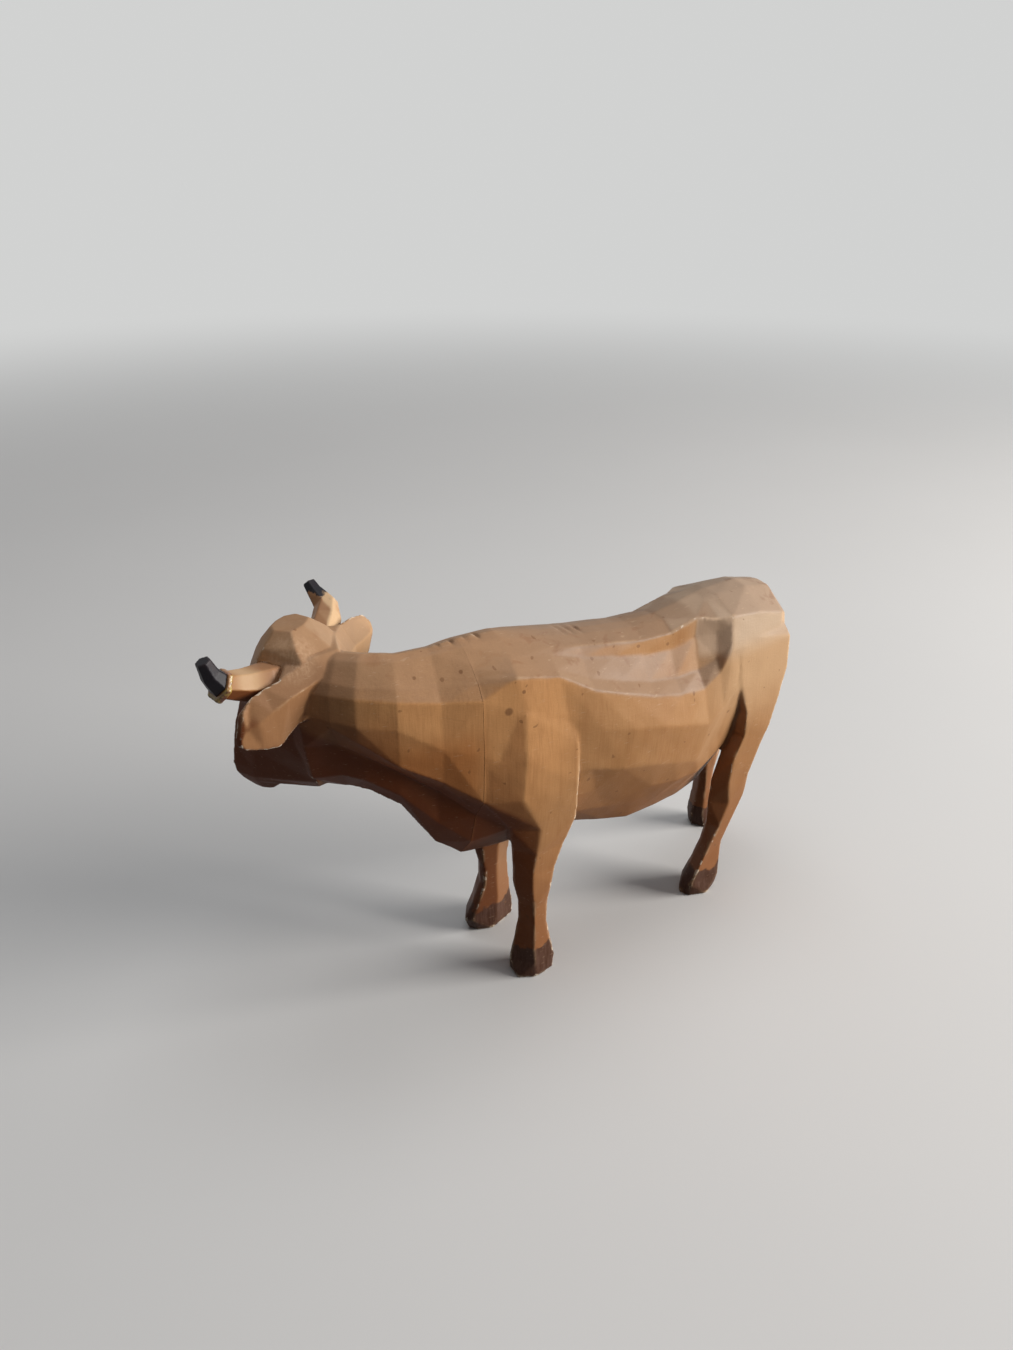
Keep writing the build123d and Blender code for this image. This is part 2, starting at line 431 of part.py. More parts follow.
with BuildPart() as neck_and_head_block:
    add(carve([seam_ring] + [neck_ring(*row) for row in neck_shares]))
    add(carve(head_rings()))
    add(carve(ear_rings(left_ear_shares, -1)))
    add(carve(ear_rings(right_ear_shares, 1)))
    for rings in (left_stump_rings, right_root_rings + right_tip_rings[:1]):
        add(carve(roomier(rings, glue_room)), mode=Mode.SUBTRACT)
    for spot in crest_nick_spots:
        with BuildSketch(Plane(origin=spot, x_dir=(1, 0, 0), z_dir=(0, -1, 0))):
            Polygon(*nick_corners, align=None)
        extrude(amount=nick_length / 2, both=True, mode=Mode.SUBTRACT)
    for side in (-1, 1):
        eye = head_place(eye_share[0], side * eye_share[1], eye_share[2])
        with Locations(Plane(origin=eye, z_dir=head_right * side)):
            Cylinder(eye_diameter / 2, 2 * eye_depth, mode=Mode.SUBTRACT)
        nostril = head_place(nostril_share[0], side * nostril_share[1], nostril_share[2])
        with Locations(Plane(origin=nostril, z_dir=head_forward)):
            Cylinder(nostril_diameter / 2, 2 * nostril_depth, mode=Mode.SUBTRACT)
    with BuildSketch(Plane(origin=mouth_spot, x_dir=head_forward, z_dir=head_right)):
        Polygon(*mouth_corners, align=None)
    extrude(amount=head_width / 2, both=True, mode=Mode.SUBTRACT)
    for spot in dowel_spots:
        with Locations(Plane(origin=spot, z_dir=(1, 0, 0))):
            Cylinder(dowel_diameter / 2 + glue_room, dowel_length + 2 * dowel_end_gap, mode=Mode.SUBTRACT)

with BuildPart() as upper_neck_dowel:
    with Locations(Plane(origin=dowel_spots[1], z_dir=(1, 0, 0))):
        Cylinder(dowel_diameter / 2, dowel_length)

with BuildPart() as lower_neck_dowel:
    with Locations(Plane(origin=dowel_spots[0], z_dir=(1, 0, 0))):
        Cylinder(dowel_diameter / 2, dowel_length)

break_ring = left_stump_rings[-1]
tip_way = (middle(left_tip_rings[0]) - middle(break_ring)).normalized()
break_plane = Plane(origin=break_ring[0], x_dir=break_ring[1] - break_ring[0],
                    z_dir=(break_ring[1] - break_ring[0]).cross(break_ring[2] - break_ring[0]))
glue_step = break_plane.z_dir * glue_thickness
if glue_step.dot(tip_way) < 0:
    glue_step = glue_step * -1
tip_ring = [corner + glue_step for corner in break_ring]

with BuildPart() as left_horn:
    add(carve(left_stump_rings))

with BuildPart() as left_horn_tip:
    add(carve([tip_ring] + left_tip_rings))

with BuildPart() as horn_glue:
    glue_start = [corner + (corner - middle(break_ring)).normalized() * glue_lip for corner in break_ring]
    glue_end = [corner + glue_step for corner in glue_start]
    add(carve([glue_start, glue_end]))

with BuildPart() as right_horn:
    add(carve(right_root_rings + right_tip_rings))

with BuildPart() as tail:
    add(carve(tail_rings))

pieces = {
    "body_block": body_block,
    "neck_and_head_block": neck_and_head_block,
    "upper_neck_dowel": upper_neck_dowel,
    "lower_neck_dowel": lower_neck_dowel,
    "left_horn": left_horn,
    "left_horn_tip": left_horn_tip,
    "horn_glue": horn_glue,
    "right_horn": right_horn,
    "tail": tail,
}
os.makedirs("parts", exist_ok=True)
for name, piece in pieces.items():
    piece.part.label = name
    export_step(piece.part, f"parts/{name}.step")
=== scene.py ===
"""Looks of the carved wooden cow: softened knife cuts, stain, varnish, wear, and painted light and shade, on
a plain stage.
"""

import bmesh
import bpy
import math
import numpy as np
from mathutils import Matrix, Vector


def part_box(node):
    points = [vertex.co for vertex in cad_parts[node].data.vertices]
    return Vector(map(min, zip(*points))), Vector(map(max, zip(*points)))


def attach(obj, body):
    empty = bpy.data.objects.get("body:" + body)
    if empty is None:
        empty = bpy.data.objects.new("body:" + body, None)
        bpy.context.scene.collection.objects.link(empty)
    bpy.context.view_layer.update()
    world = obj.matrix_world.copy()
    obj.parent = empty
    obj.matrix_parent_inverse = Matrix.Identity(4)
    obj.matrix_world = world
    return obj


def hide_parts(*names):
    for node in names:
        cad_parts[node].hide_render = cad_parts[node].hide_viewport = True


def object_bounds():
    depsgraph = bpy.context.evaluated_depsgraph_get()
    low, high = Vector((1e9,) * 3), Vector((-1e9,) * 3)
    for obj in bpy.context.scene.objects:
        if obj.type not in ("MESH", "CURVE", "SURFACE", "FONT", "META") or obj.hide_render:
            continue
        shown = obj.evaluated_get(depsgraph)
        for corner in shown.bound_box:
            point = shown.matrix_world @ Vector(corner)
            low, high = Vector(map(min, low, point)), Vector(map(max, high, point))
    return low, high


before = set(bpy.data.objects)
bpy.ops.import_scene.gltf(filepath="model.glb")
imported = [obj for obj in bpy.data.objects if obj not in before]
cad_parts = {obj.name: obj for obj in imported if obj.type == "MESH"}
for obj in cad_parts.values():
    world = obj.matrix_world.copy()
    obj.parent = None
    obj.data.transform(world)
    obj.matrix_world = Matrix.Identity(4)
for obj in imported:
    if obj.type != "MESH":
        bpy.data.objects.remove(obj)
cad_low, cad_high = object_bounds()

mm = 0.001

# Surface of the carving: size of the mesh cells, passes of softening, and depth of the knife's waver
body_cell = 0.7 * mm
head_cell = 0.5 * mm
horn_cell = 0.25 * mm
tail_cell = 0.4 * mm
softening_passes = 1
horn_passes = 5
waver_depth = 0.05 * mm
waver_lengths = [7 * mm, 13 * mm, 25 * mm]
waves_per_length = 7

# Neck seam: where it lies, and how far each block is carried past it before it is cut off flat
seam_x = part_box("body_block")[0][0]
past_seam = 4 * mm

# Horns: how much their roots flare, how far the glue bulges out of the break, and the height above
# which the right horn is stained black
horn_flare = 0.8 * mm
glue_bulge = 0.5 * mm
right_horn_black_from = 128.3 * mm

# Heights that the stain and the painted light and shade follow: hooves, legs, far legs, lower neck, the scoop
# under the back, and the brow
hoof_height = 10.5 * mm
leg_height = 75 * mm
far_leg_height = 50 * mm
low_neck_height = 98 * mm
scoop_height = 99 * mm
brow_height = 124 * mm

# Distances behind the cow's middle that the stain and the painted light and shade follow, and how far across
# the painted shade on the far legs begins
face_from = -64 * mm
neck_from = -30 * mm
chest_from = -16 * mm
shoulder_from = -2 * mm
scoop_from = 32 * mm
thigh_from = 60 * mm
far_legs_from = -8 * mm

# Upper border of the painted shade in the throat: its height at the cow's middle, and its rise toward the
# head
throat_height = 54 * mm
throat_rise = 0.67

# Knots in the wood, and a patch of painted light on the brow between the horns: place and radius
knots = [(-22.4 * mm, -29.4 * mm, 104.7 * mm, 1.6 * mm), (-17.5 * mm, -29.8 * mm, 109.9 * mm, 0.8 * mm),
         (-46.5 * mm, -18.4 * mm, 117.9 * mm, 0.7 * mm), (-33.2 * mm, -21.2 * mm, 117.2 * mm, 0.8 * mm)]
brow_light_patch = (-75 * mm, -2 * mm, 125 * mm, 9 * mm)

# Stage: colour of the backdrop, light that comes from all round, the table's colour as the cow's
# underside sees it, and where the floor fades to the backdrop
backdrop_colour = (0.64, 0.645, 0.64)
fill_colour = (0.11, 0.11, 0.115)
floor_bounce_colour = (0.05, 0.042, 0.038)
floor_fades_from = 450 * mm
floor_fades_to = 1500 * mm

# Camera: where it stands, where it looks, and its lens on a 36 mm sensor
camera_place = (-161.4 * mm, -238.1 * mm, 250 * mm)
camera_way = (0.4873, 0.7363, -0.4695)
camera_lens = 27.07
sensor_long_side = 36.0


# Mesh work

def neighbour_mean(values, edges, counts):
    """Mean of the values at the neighbours of each vertex, for whole arrays at once."""
    total = np.zeros_like(values)
    np.add.at(total, edges[:, 0], values[edges[:, 1]])
    np.add.at(total, edges[:, 1], values[edges[:, 0]])
    return total / counts


def waver(points, seed):
    """Height of the knife's waver at each point.

    It is a sum of sines, each along a random way, with a random phase and one of the waver
    lengths, divided by the root of their number so that it stays near one.
    """
    chance = np.random.default_rng(seed)
    height = np.zeros(len(points))
    number = len(waver_lengths) * waves_per_length
    for length in waver_lengths:
        ways = chance.normal(size=(waves_per_length, 3))
        ways /= np.linalg.norm(ways, axis=1)[:, None]
        phases = chance.uniform(0, 2 * math.pi, waves_per_length)
        height += np.sin(points @ ways.T * (2 * math.pi / length) + phases).sum(axis=1)
    return height / math.sqrt(number)


def merged_copy(node, seam_way):
    """A copy of a node's mesh with its loose triangles joined, carried past the seam if it has one."""
    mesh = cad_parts[node].data.copy()
    shell = bmesh.new()
    shell.from_mesh(mesh)
    bmesh.ops.remove_doubles(shell, verts=shell.verts, dist=0.01 * mm)
    if seam_way:
        flat = [face for face in shell.faces
                if all(abs(corner.co.x - seam_x) < 0.01 * mm for corner in face.verts)]
        moved = bmesh.ops.extrude_face_region(shell, geom=flat)["geom"]
        corners = [part for part in moved if isinstance(part, bmesh.types.BMVert)]
        bmesh.ops.translate(shell, verts=corners, vec=(seam_way * past_seam, 0, 0))
    shell.to_mesh(mesh)
    shell.free()
    return mesh


def cut_at_seam(mesh, seam_way):
    """Cuts a mesh off flat at the seam, caps it and keeps the cap's rim sharp."""
    shell = bmesh.new()
    shell.from_mesh(mesh)
    everything = shell.verts[:] + shell.edges[:] + shell.faces[:]
    cut = bmesh.ops.bisect_plane(shell, geom=everything, plane_co=(seam_x, 0, 0),
                                 plane_no=(seam_way, 0, 0), clear_outer=True)
    rim = [part for part in cut["geom_cut"] if isinstance(part, bmesh.types.BMEdge)]
    for edge in rim:
        edge.smooth = False
    bmesh.ops.triangle_fill(shell, use_beauty=True, edges=rim, normal=(seam_way, 0, 0))
    shell.to_mesh(mesh)
    shell.free()


def in_cells(node, name, cell, seam_way):
    """A piece with a node's form in small cells that are laid back on the node's own cuts."""
    cuts = bpy.data.objects.new(name + "_cuts", merged_copy(node, seam_way))
    piece = bpy.data.objects.new(name, cuts.data)
    bpy.context.scene.collection.objects.link(cuts)
    bpy.context.scene.collection.objects.link(piece)
    remesh = piece.modifiers.new("cells", "REMESH")
    remesh.mode = "VOXEL"
    remesh.voxel_size = cell
    remesh.adaptivity = 0
    laid = piece.modifiers.new("laid_on_cuts", "SHRINKWRAP")
    laid.target = cuts
    laid.wrap_method = "NEAREST_SURFACEPOINT"
    shown = piece.evaluated_get(bpy.context.evaluated_depsgraph_get())
    mesh = bpy.data.meshes.new_from_object(shown)
    piece.modifiers.clear()
    piece.data = mesh
    mesh.name = name
    bpy.data.objects.remove(cuts)
    return piece


def knife_cut(node, name, cell, passes, depth, seed, seam_way=0, root=None, flare=0.0, bulge=0.0):
    """A node's form in small cells, with softened edges and a slight waver in every cut.

    Each pass of softening moves a vertex half way to the mean of its neighbours. The bulge moves
    it out along its normal, most on the underside, and so does the flare, near the root only. The
    waver moves it in along its normal, and the result is kept inside the whole cow's box. The mesh
    carries how far each spot stands out as a ridge or lies in a hollow, how far it faces up, down
    and forward, a tone that changes from cut to cut because it is worked out from the way the cut
    faces, and how far it lies from the root.
    """
    piece = in_cells(node, name, cell, seam_way)
    mesh = piece.data
    points = np.empty(len(mesh.vertices) * 3)
    mesh.vertices.foreach_get("co", points)
    points = points.reshape(-1, 3)
    edges = np.empty(len(mesh.edges) * 2, dtype=np.int64)
    mesh.edges.foreach_get("vertices", edges)
    edges = edges.reshape(-1, 2)
    counts = np.bincount(edges.ravel(), minlength=len(points)).astype(float)[:, None]
    counts = np.maximum(counts, 1)

    for _ in range(passes):
        points += (neighbour_mean(points, edges, counts) - points) / 2
    mesh.vertices.foreach_set("co", points.ravel())
    mesh.update()
    normals = np.empty(len(mesh.vertices) * 3)
    mesh.vertices.foreach_get("normal", normals)
    normals = normals.reshape(-1, 3)
    bend = ((points - neighbour_mean(points, edges, counts)) * normals).sum(axis=1)[:, None] / cell
    for _ in range(3):
        bend = (bend + neighbour_mean(bend, edges, counts)) / 2
    facing = normals.copy()
    for _ in range(3):
        facing = (facing + neighbour_mean(facing, edges, counts)) / 2
    facing /= np.maximum(np.linalg.norm(facing, axis=1), 1e-6)[:, None]
    from_root = np.linalg.norm(points - np.array(root if root else (0, 0, 0)), axis=1)
    from_root = (from_root - from_root.min()) / (from_root.max() - from_root.min())

    points += normals * ((waver(points, seed) - 1) * depth)[:, None]
    points += normals * (bulge * (1 - normals[:, 2]) + flare * np.clip(1 - from_root / 0.7, 0, 1))[:, None]
    points = np.clip(points, np.array(cad_low), np.array(cad_high))
    mesh.vertices.foreach_set("co", points.ravel())

    fields = {
        "ridge": np.clip(bend[:, 0] * 9, 0, 1),
        "hollow": np.clip(-bend[:, 0] * 9, 0, 1),
        "upward": np.clip(facing[:, 2], 0, 1),
        "downward": np.clip(-facing[:, 2], 0, 1),
        "forward": 0.5 - 0.5 * facing[:, 0],
        "cut_tone": 0.5 + 0.25 * waver(facing * 20 * mm, seed + 1),
        "from_root": from_root,
    }
    for label, values in fields.items():
        field = mesh.attributes.new(label, "FLOAT", "POINT")
        field.data.foreach_set("value", values.astype(np.float32))
    if seam_way:
        cut_at_seam(mesh, seam_way)
    mesh.polygons.foreach_set("use_smooth", np.ones(len(mesh.polygons), dtype=bool))
    mesh.update()
    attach(piece, "root")
    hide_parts(node)
    return piece


# Shader work

def add_node(tree, kind, settings=None, inputs=None):
    """One shader node with its settings, and its inputs given as values or as other nodes' outputs."""
    made = tree.nodes.new(kind)
    for name, value in (settings or {}).items():
        setattr(made, name, value)
    for name, value in (inputs or {}).items():
        if isinstance(value, bpy.types.NodeSocket):
            tree.links.new(value, made.inputs[name])
        else:
            made.inputs[name].default_value = value
    return made


def scaled_place(tree, stretch):
    """Object coordinates in millimetres, each axis times its own stretch."""
    place = add_node(tree, "ShaderNodeTexCoord").outputs["Object"]
    scale = [value / mm for value in stretch]
    return add_node(tree, "ShaderNodeVectorMath", {"operation": "MULTIPLY"}, {0: place, 1: scale}).outputs[0]


def noise(tree, stretch, scale, detail=3.0, roughness=0.55, distortion=0.0):
    """Cloudy noise from 0 to 1; scale is how many clouds lie in a millimetre."""
    values = {"Vector": scaled_place(tree, stretch), "Scale": scale, "Detail": detail,
              "Roughness": roughness, "Distortion": distortion}
    return add_node(tree, "ShaderNodeTexNoise", {}, values).outputs["Fac"]


def ramp(tree, value, low, high, start=0.0, end=1.0):
    """A smooth step of the value from start at low to end at high."""
    values = {"Value": value, "From Min": low, "From Max": high, "To Min": start, "To Max": end}
    made = add_node(tree, "ShaderNodeMapRange", {"interpolation_type": "SMOOTHSTEP"}, values)
    return made.outputs["Result"]


def reckon(tree, operation, one, other):
    """A sum with two numbers."""
    return add_node(tree, "ShaderNodeMath", {"operation": operation}, {0: one, 1: other}).outputs[0]


def both(tree, one, other):
    """The product of two shares."""
    return reckon(tree, "MULTIPLY", one, other)


def mix(tree, share, one, other, how="MIX"):
    """One colour with a share of another laid over it."""
    made = add_node(tree, "ShaderNodeMix", {"data_type": "RGBA", "blend_type": how})
    for index, value in ((0, share), (6, one), (7, other)):
        if isinstance(value, bpy.types.NodeSocket):
            tree.links.new(value, made.inputs[index])
        elif index == 0:
            made.inputs[index].default_value = value
        else:
            made.inputs[index].default_value = (*value, 1.0)
    return made.outputs[2]


def field(tree, name):
    """A value that the carved mesh carries."""
    return add_node(tree, "ShaderNodeAttribute", {"attribute_name": name}).outputs["Fac"]


def place_in_mm(tree):
    """Distance behind the cow's middle, distance across to the far side, and height, in millimetres."""
    parts = add_node(tree, "ShaderNodeSeparateXYZ", {}, {0: scaled_place(tree, (1, 1, 1))}).outputs
    return parts["X"], parts["Y"], parts["Z"]


def beyond(tree, value, border, blur, most=1.0):
    """A share that rises to the most as the value passes a border, over twice the blur in millimetres."""
    return ramp(tree, value, border / mm - blur, border / mm + blur, 0.0, most)


def short_of(tree, value, border, blur, most=1.0):
    """A share that falls from the most as the value passes a border, over twice the blur in millimetres."""
    return ramp(tree, value, border / mm - blur, border / mm + blur, most, 0.0)


def spot(tree, place, radius):
    """A round spot about a place, fading from the middle out."""
    middle = [value / mm for value in place]
    away = add_node(tree, "ShaderNodeVectorMath", {"operation": "DISTANCE"},
                    {0: scaled_place(tree, (1, 1, 1)), 1: middle}).outputs["Value"]
    return ramp(tree, away, radius / mm / 2, radius / mm, 0.7, 0.0)


def new_material(name):
    """An empty material with its shader."""
    material = bpy.data.materials.new(name)
    material.use_nodes = True
    return material, material.node_tree, material.node_tree.nodes["Principled BSDF"]


def upright_grain(tree):
    """Fine streaks that run up the wood, with broader soft ones from its year rings."""
    streaks = noise(tree, (1, 1, 0.05), 1.3, detail=5, roughness=0.6)
    bands = noise(tree, (1, 0.7, 0.04), 0.22, detail=3, distortion=0.3)
    return reckon(tree, "ADD", both(tree, streaks, 0.6), both(tree, bands, 0.4))


def varnish(shader, coat):
    """Satin varnish over the wood."""
    shader.inputs["Coat Weight"].default_value = coat
    shader.inputs["Coat Roughness"].default_value = 0.38
    shader.inputs["Specular IOR Level"].default_value = 0.1


def relief(tree, shader, value, strength, distance):
    """Fine bumps from a value."""
    bump = add_node(tree, "ShaderNodeBump", {}, {"Height": value, "Strength": strength, "Distance": distance})
    tree.links.new(bump.outputs["Normal"], shader.inputs["Normal"])


def stained_wood():
    """Brown-stained wood: tan on the sides, paler on the thigh, hindquarters, rear faces and scoop from
    painted light, greyer on top partly from stain and partly from a painted sheen, redder in front from
    painted shade, and on the underside partly from stain and partly from painted shade.

    Legs are darker, the face is darker partly as painted shade, and the hollow of the throat and the far
    front leg carry painted shade. Edges are lighter from wear and painted highlight, with a few bare chips,
    and dirt and painted shade lie in the hollows.
    """
    material, tree, shader = new_material("stained_wood")
    grain = upright_grain(tree)
    blotches = noise(tree, (1, 1, 0.6), 0.06, detail=4)
    upward, downward, forward = (field(tree, name) for name in ("upward", "downward", "forward"))
    behind, across, high = place_in_mm(tree)

    colour = mix(tree, ramp(tree, blotches, 0.3, 0.7), (0.41, 0.212, 0.09), (0.36, 0.175, 0.068))
    shoulder = both(tree, short_of(tree, behind, shoulder_from, 7, 0.8), beyond(tree, high, leg_height, 20))
    colour = mix(tree, shoulder, colour, (0.57, 0.28, 0.11))
    colour = mix(tree, ramp(tree, grain, 0.42, 0.66, 0.0, 0.3), colour, (0.27, 0.105, 0.034))
    colour = mix(tree, ramp(tree, field(tree, "cut_tone"), 0.2, 0.8, 0.0, 0.35), colour, (0.49, 0.27, 0.12))
    # Painted light: the upper hind legs are made paler where the window lamp falls on them.
    lit_thighs = both(tree, beyond(tree, behind, thigh_from, 15, 0.8), beyond(tree, high, leg_height, 15))
    colour = mix(tree, lit_thighs, colour, (0.55, 0.35, 0.195))
    # Painted light on the top of the hindquarters, where the window lamp falls.
    lit_rump = both(tree, beyond(tree, behind, thigh_from, 12, 0.75), beyond(tree, high, scoop_height, 5))
    colour = mix(tree, lit_rump, colour, (0.49, 0.37, 0.265))
    # Painted light on faces turned toward the rear, toward the window lamp.
    lit_rear_faces = ramp(tree, forward, 0.45, 0.25, 0.0, 0.7)
    colour = mix(tree, lit_rear_faces, colour, (0.54, 0.35, 0.20))
    # Painted shade: faces turned to the front are made darker and redder, away from the window lamp.
    shaded_front_share = ramp(tree, behind, scoop_from / mm, thigh_from / mm, 0.8, 0.4)
    shaded_front_share = both(tree, shaded_front_share, short_of(tree, high, low_neck_height + 10 * mm, 6))
    colour = mix(tree, both(tree, ramp(tree, forward, 0.60, 0.90), shaded_front_share), colour, (0.38, 0.095, 0.024))
    low_neck = short_of(tree, high, low_neck_height, 6, 0.75)
    low_neck = both(tree, short_of(tree, behind, neck_from, 6), low_neck)
    colour = mix(tree, low_neck, colour, (0.36, 0.13, 0.036))

    # Top faces greyer: partly stain, partly a painted sheen of the bright room on the varnish. The dark
    # smudges in it are dirt.
    top_share = ramp(tree, behind, neck_from / mm - 10, chest_from / mm + 20, 0.6, 0.85)
    top_sheen_and_stain = both(tree, ramp(tree, upward, 0.2, 0.58), top_share)
    smudges = ramp(tree, noise(tree, (0.7, 1, 1), 0.2, detail=3, distortion=0.5), 0.56, 0.72, 0.0, 0.6)
    top_sheen_and_stain_colour = mix(tree, beyond(tree, behind, thigh_from, 15), (0.275, 0.173, 0.11), (0.34, 0.235, 0.165))
    top_sheen_and_stain_colour = mix(tree, smudges, top_sheen_and_stain_colour, (0.20, 0.10, 0.06))
    colour = mix(tree, top_sheen_and_stain, colour, top_sheen_and_stain_colour)
    # Painted light and painted sheen in the scoop under the back, also on its faces turned to the front, away
    # from the lamp.
    scoop_light_and_sheen = both(tree, beyond(tree, behind, scoop_from, 12, 0.85), beyond(tree, high, scoop_height, 2))
    scoop_light_and_sheen = both(tree, scoop_light_and_sheen, ramp(tree, forward, 0.54, 0.66))
    colour = mix(tree, scoop_light_and_sheen, colour, (0.64, 0.45, 0.31))

    # Faces turned down are darker and redder: partly stain, partly painted shade.
    underside_stain_and_shade = ramp(tree, downward, 0.04, 0.55, 0.0, 0.85)
    underside_stain_and_shade_colour = mix(tree, beyond(tree, behind, chest_from, 10), (0.27, 0.075, 0.02), (0.33, 0.15, 0.06))
    colour = mix(tree, underside_stain_and_shade, colour, underside_stain_and_shade_colour)
    # The face is darker: partly stain, partly painted shade under the ear.
    face = both(tree, short_of(tree, behind, face_from, 5, 0.65), short_of(tree, high, brow_height, 3))
    colour = mix(tree, face, colour, (0.24, 0.12, 0.06))
    # Painted light: a pale patch on the brow between the horns, streaked by the grain.
    brow = both(tree, spot(tree, brow_light_patch[:3], brow_light_patch[3]), ramp(tree, grain, 0.36, 0.56, 0.9, 0.3))
    colour = mix(tree, brow, colour, (0.52, 0.33, 0.20))
    # Painted shade in the hollow of the throat, under the ridge of the neck.
    throat_line = reckon(tree, "ADD", high, reckon(tree, "MULTIPLY", behind, throat_rise))
    throat = both(tree, short_of(tree, behind, chest_from, 8), short_of(tree, throat_line, throat_height, 2))
    throat = both(tree, throat, ramp(tree, forward, 0.50, 0.66, 0.0, 0.88))
    colour = mix(tree, throat, colour, (0.13, 0.028, 0.007))
    legs = ramp(tree, high, leg_height / mm, hoof_height / mm, 0.0, 0.75)
    colour = mix(tree, legs, colour, (0.21, 0.072, 0.026))
    # Painted shade on the far front leg's faces that turn from the window lamp.
    far_legs_shade = both(tree, beyond(tree, across, far_legs_from, 3), short_of(tree, high, far_leg_height, 6))
    far_legs_shade = both(tree, far_legs_shade, ramp(tree, forward, 0.38, 0.48, 0.0, 0.75))
    far_front_leg_shade = both(tree, far_legs_shade, short_of(tree, behind, scoop_from, 10))
    colour = mix(tree, far_front_leg_shade, colour, (0.10, 0.028, 0.01))
    edge = reckon(tree, "ADD", high, ramp(tree, noise(tree, (1, 1, 1), 0.12), 0.3, 0.7, -2.0, 2.0))
    hooves = short_of(tree, edge, hoof_height, 0.7, 0.9)
    hoof_colour = mix(tree, ramp(tree, grain, 0.4, 0.62), (0.085, 0.044, 0.032), (0.045, 0.018, 0.011))
    colour = mix(tree, hooves, colour, hoof_colour)

    specks = ramp(tree, noise(tree, (1, 1, 1), 0.4, detail=0), 0.81, 0.84, 0.0, 0.5)
    for knot in knots:
        specks = reckon(tree, "MAXIMUM", specks, spot(tree, knot[:3], knot[3]))
    colour = mix(tree, specks, colour, (0.16, 0.07, 0.03))
    scuffs = ramp(tree, noise(tree, (0.3, 1, 2), 0.8, detail=3), 0.64, 0.72, 0.0, 0.22)
    colour = mix(tree, scuffs, colour, (0.60, 0.42, 0.28))
    # Edges lighter: partly wear, partly painted highlight.
    edge_patches = ramp(tree, noise(tree, (1, 1, 1), 0.15, detail=2), 0.4, 0.6)
    worn_and_highlight = both(tree, ramp(tree, field(tree, "ridge"), 0.25, 0.9, 0.0, 0.35), edge_patches)
    colour = mix(tree, worn_and_highlight, colour, (0.60, 0.40, 0.24))
    # Hollows darker: partly dirt, partly painted shade.
    grime_and_shade = ramp(tree, field(tree, "hollow"), 0.15, 0.8, 0.0, 0.5)
    colour = mix(tree, grime_and_shade, colour, (0.08, 0.03, 0.014))
    torn_clouds = noise(tree, (1, 1, 1), 0.55, detail=2)
    rims = reckon(tree, "MAXIMUM", short_of(tree, behind, face_from, 4), short_of(tree, high, hoof_height, 2))
    torn = mix(tree, rims, ramp(tree, torn_clouds, 0.56, 0.62), ramp(tree, torn_clouds, 0.47, 0.53))
    chips = both(tree, ramp(tree, field(tree, "ridge"), 0.6, 0.85, 0.0, 0.8), torn)
    colour = mix(tree, chips, colour, (0.72, 0.60, 0.47))
    tree.links.new(colour, shader.inputs["Base Color"])
    tree.links.new(ramp(tree, blotches, 0.3, 0.7, 0.42, 0.56), shader.inputs["Roughness"])
    varnish(shader, 0.08)
    torn_grain = noise(tree, (0.4, 1, 1.6), 1.1, detail=4)
    relief(tree, shader, reckon(tree, "ADD", grain, torn_grain), 0.3, 0.2 * mm)
    return material


